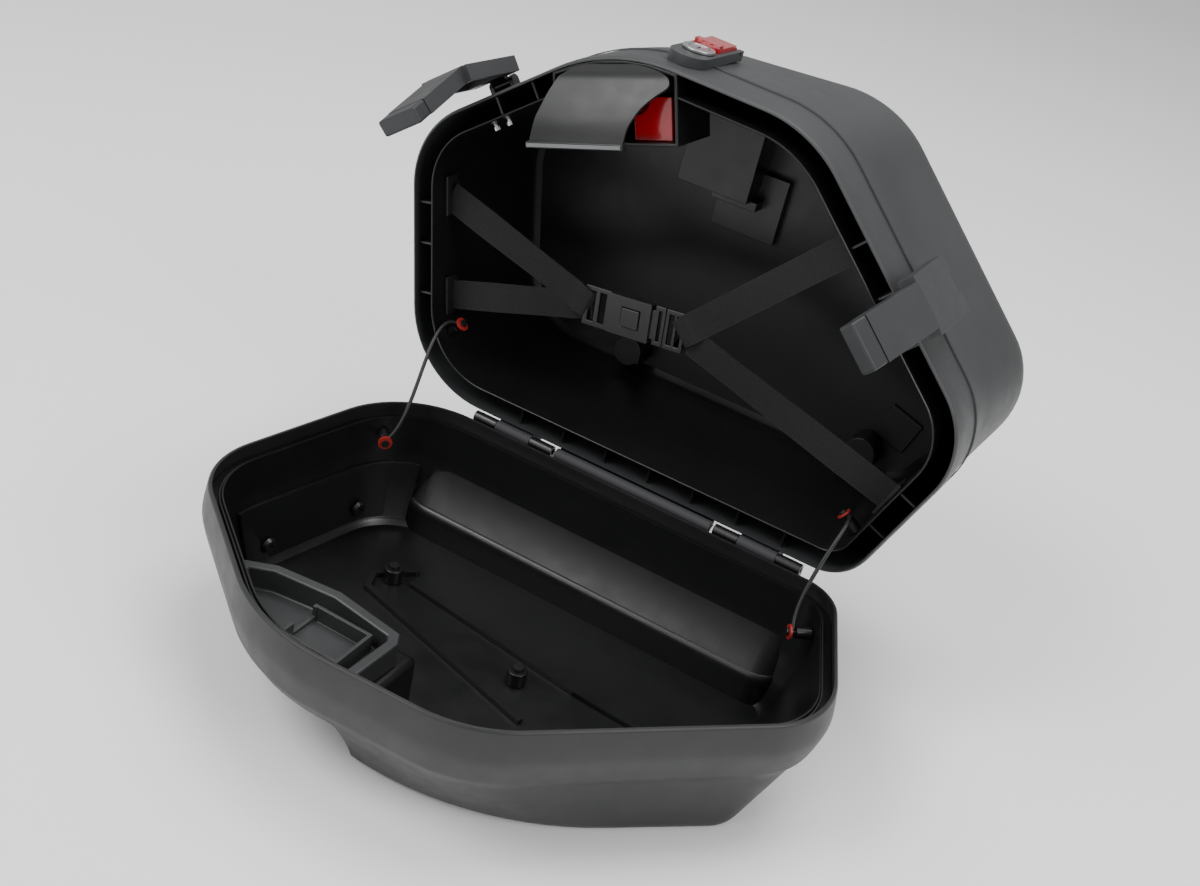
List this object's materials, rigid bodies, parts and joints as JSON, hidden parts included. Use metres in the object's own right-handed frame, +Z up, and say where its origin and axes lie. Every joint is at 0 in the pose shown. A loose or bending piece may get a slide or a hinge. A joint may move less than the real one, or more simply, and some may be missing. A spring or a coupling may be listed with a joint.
{
  "type": "motorcycle side case",
  "caption": "Hard-shell motorcycle side case hinged open in two lined halves, with over-centre latches, a lockable grip, rack sockets and luggage straps.",
  "frame": {"origin": "on the flat bottom of the outer half, which the open case rests on", "axes": "+Z up, +X along the hinge, +Y from the outer half towards the standing inner half"},
  "size_m": [0.5131, 0.5297, 0.4671],
  "materials": {
    "shell_grey": "fine moulded grain",
    "inner_black": "smooth satin moulding",
    "steel": "bright zinc",
    "seal_rubber": "matt rubber",
    "trim_grey": "satin moulding",
    "red_washer": "plain red",
    "band_grey": "matt band",
    "lock_metal": "satin metal",
    "red_gloss": "glossy red",
    "webbing": "woven webbing",
    "buckle_black": "moulded",
    "chrome": "bright chrome"
  },
  "bodies": {
    "cover_half": {"cover_skin": "shell_grey", "cover_liner": "inner_black", "cover_ribs": "inner_black", "cover_bosses": "inner_black", "boss_screws": "steel", "end_panel": "inner_black", "panel_screws": "steel", "rim_seal": "seal_rubber", "grip_pocket": "trim_grey", "pocket_insert": "trim_grey", "hinge_tabs": "inner_black", "hinge_fence": "inner_black", "hinge_pins": "steel", "cover_cord_posts": "inner_black", "cover_cord_washers": "red_washer", "cover_cord_screws": "steel", "limit_cord_l": "seal_rubber", "limit_cord_r": "seal_rubber"},
    "base_half": {"base_skin": "shell_grey", "base_liner": "inner_black", "lip_ribs": "inner_black", "seam_band": "band_grey", "hinge_hooks": "inner_black", "hinge_guard": "inner_black", "lock_housing": "inner_black", "grip_flap": "trim_grey", "lock_plate": "shell_grey", "key_cover": "lock_metal", "release_pin": "steel", "rack_sockets": "inner_black", "rack_housing": "inner_black", "base_relief": "inner_black", "strap_anchors": "inner_black", "strap_ul": "webbing", "strap_ll": "webbing", "strap_ur": "webbing", "strap_lr": "webbing", "buckle_socket": "buckle_black", "buckle_tongue": "buckle_black", "tri_glide": "buckle_black", "latch_brackets": "inner_black", "latch_nuts": "chrome", "base_cord_posts": "inner_black", "base_cord_washers": "red_washer", "base_cord_screws": "steel"},
    "key": {"key_barrel": "lock_metal"},
    "release_lever": {"release_lever": "red_gloss"},
    "release_slider": {"release_slider": "red_gloss"},
    "buckle_button": {"buckle_button": "buckle_black"},
    "latch_l_link": {"latch_l_link": "inner_black"},
    "latch_l_lever": {"latch_l_lever": "shell_grey", "latch_l_cap": "trim_grey"},
    "latch_r_link": {"latch_r_link": "inner_black"},
    "latch_r_lever": {"latch_r_lever": "shell_grey", "latch_r_cap": "trim_grey"}
  },
  "joints": [
    {"name": "lid_hinge", "type": "hinge", "parent": "cover_half", "child": "base_half", "pos_m": [0, 0.15, 0.118], "axis": [1, 0, 0], "range_deg": [0, 94], "deforming": ["limit_cord_l", "limit_cord_r"]},
    {"name": "latch_l_link_swing", "type": "hinge", "parent": "base_half", "child": "latch_l_link", "pos_m": [-0.20791, 0.22441, 0.37931], "axis": [-0.7939, -0.0424, -0.6065], "range_deg": [0, 14]},
    {"name": "latch_l_lever_swing", "type": "hinge", "parent": "latch_l_link", "child": "latch_l_lever", "pos_m": [-0.2146, 0.21006, 0.38907], "axis": [-0.7939, -0.0424, -0.6065], "range_deg": [0, 55]},
    {"name": "latch_r_link_swing", "type": "hinge", "parent": "base_half", "child": "latch_r_link", "pos_m": [0.18861, 0.22248, 0.35167], "axis": [-0.724, 0.0481, 0.6881], "range_deg": [0, 14]},
    {"name": "latch_r_lever_swing", "type": "hinge", "parent": "latch_r_link", "child": "latch_r_lever", "pos_m": [0.1962, 0.20807, 0.36066], "axis": [-0.724, 0.0481, 0.6881], "range_deg": [0, 55]},
    {"name": "key_turn", "type": "hinge", "parent": "base_half", "child": "key", "pos_m": [-0.04347, 0.21986, 0.45755], "axis": [0.0467, 0.0697, 0.9965], "range_deg": [0, 90]},
    {"name": "release_lever_pull", "type": "hinge", "parent": "base_half", "child": "release_lever", "pos_m": [-0.04337, 0.26688, 0.45626], "axis": [-0.9989, 0.0033, 0.0466], "range_deg": [0, 25], "stiffness_Nm_per_rad": 0.05, "springref_deg": -5.73},
    {"name": "release_slider_slide", "type": "slide", "parent": "base_half", "child": "release_slider", "axis": [0.9543, 0.0208, 0.298], "range_m": [0, 0.004]},
    {"name": "buckle_button_press", "type": "slide", "parent": "base_half", "child": "buckle_button", "axis": [0, 0.9976, -0.0698], "range_m": [0, 0.0012], "stiffness_N_per_m": 400, "springref_m": -0.0005}
  ],
  "couplings": [
    {"joint": "latch_l_link_swing", "follows": "latch_l_lever_swing", "ratio": 0.25},
    {"joint": "latch_r_link_swing", "follows": "latch_r_lever_swing", "ratio": 0.25},
    {"joint": "release_lever_pull", "follows": "release_slider_slide", "rad_per_m": 109}
  ]
}
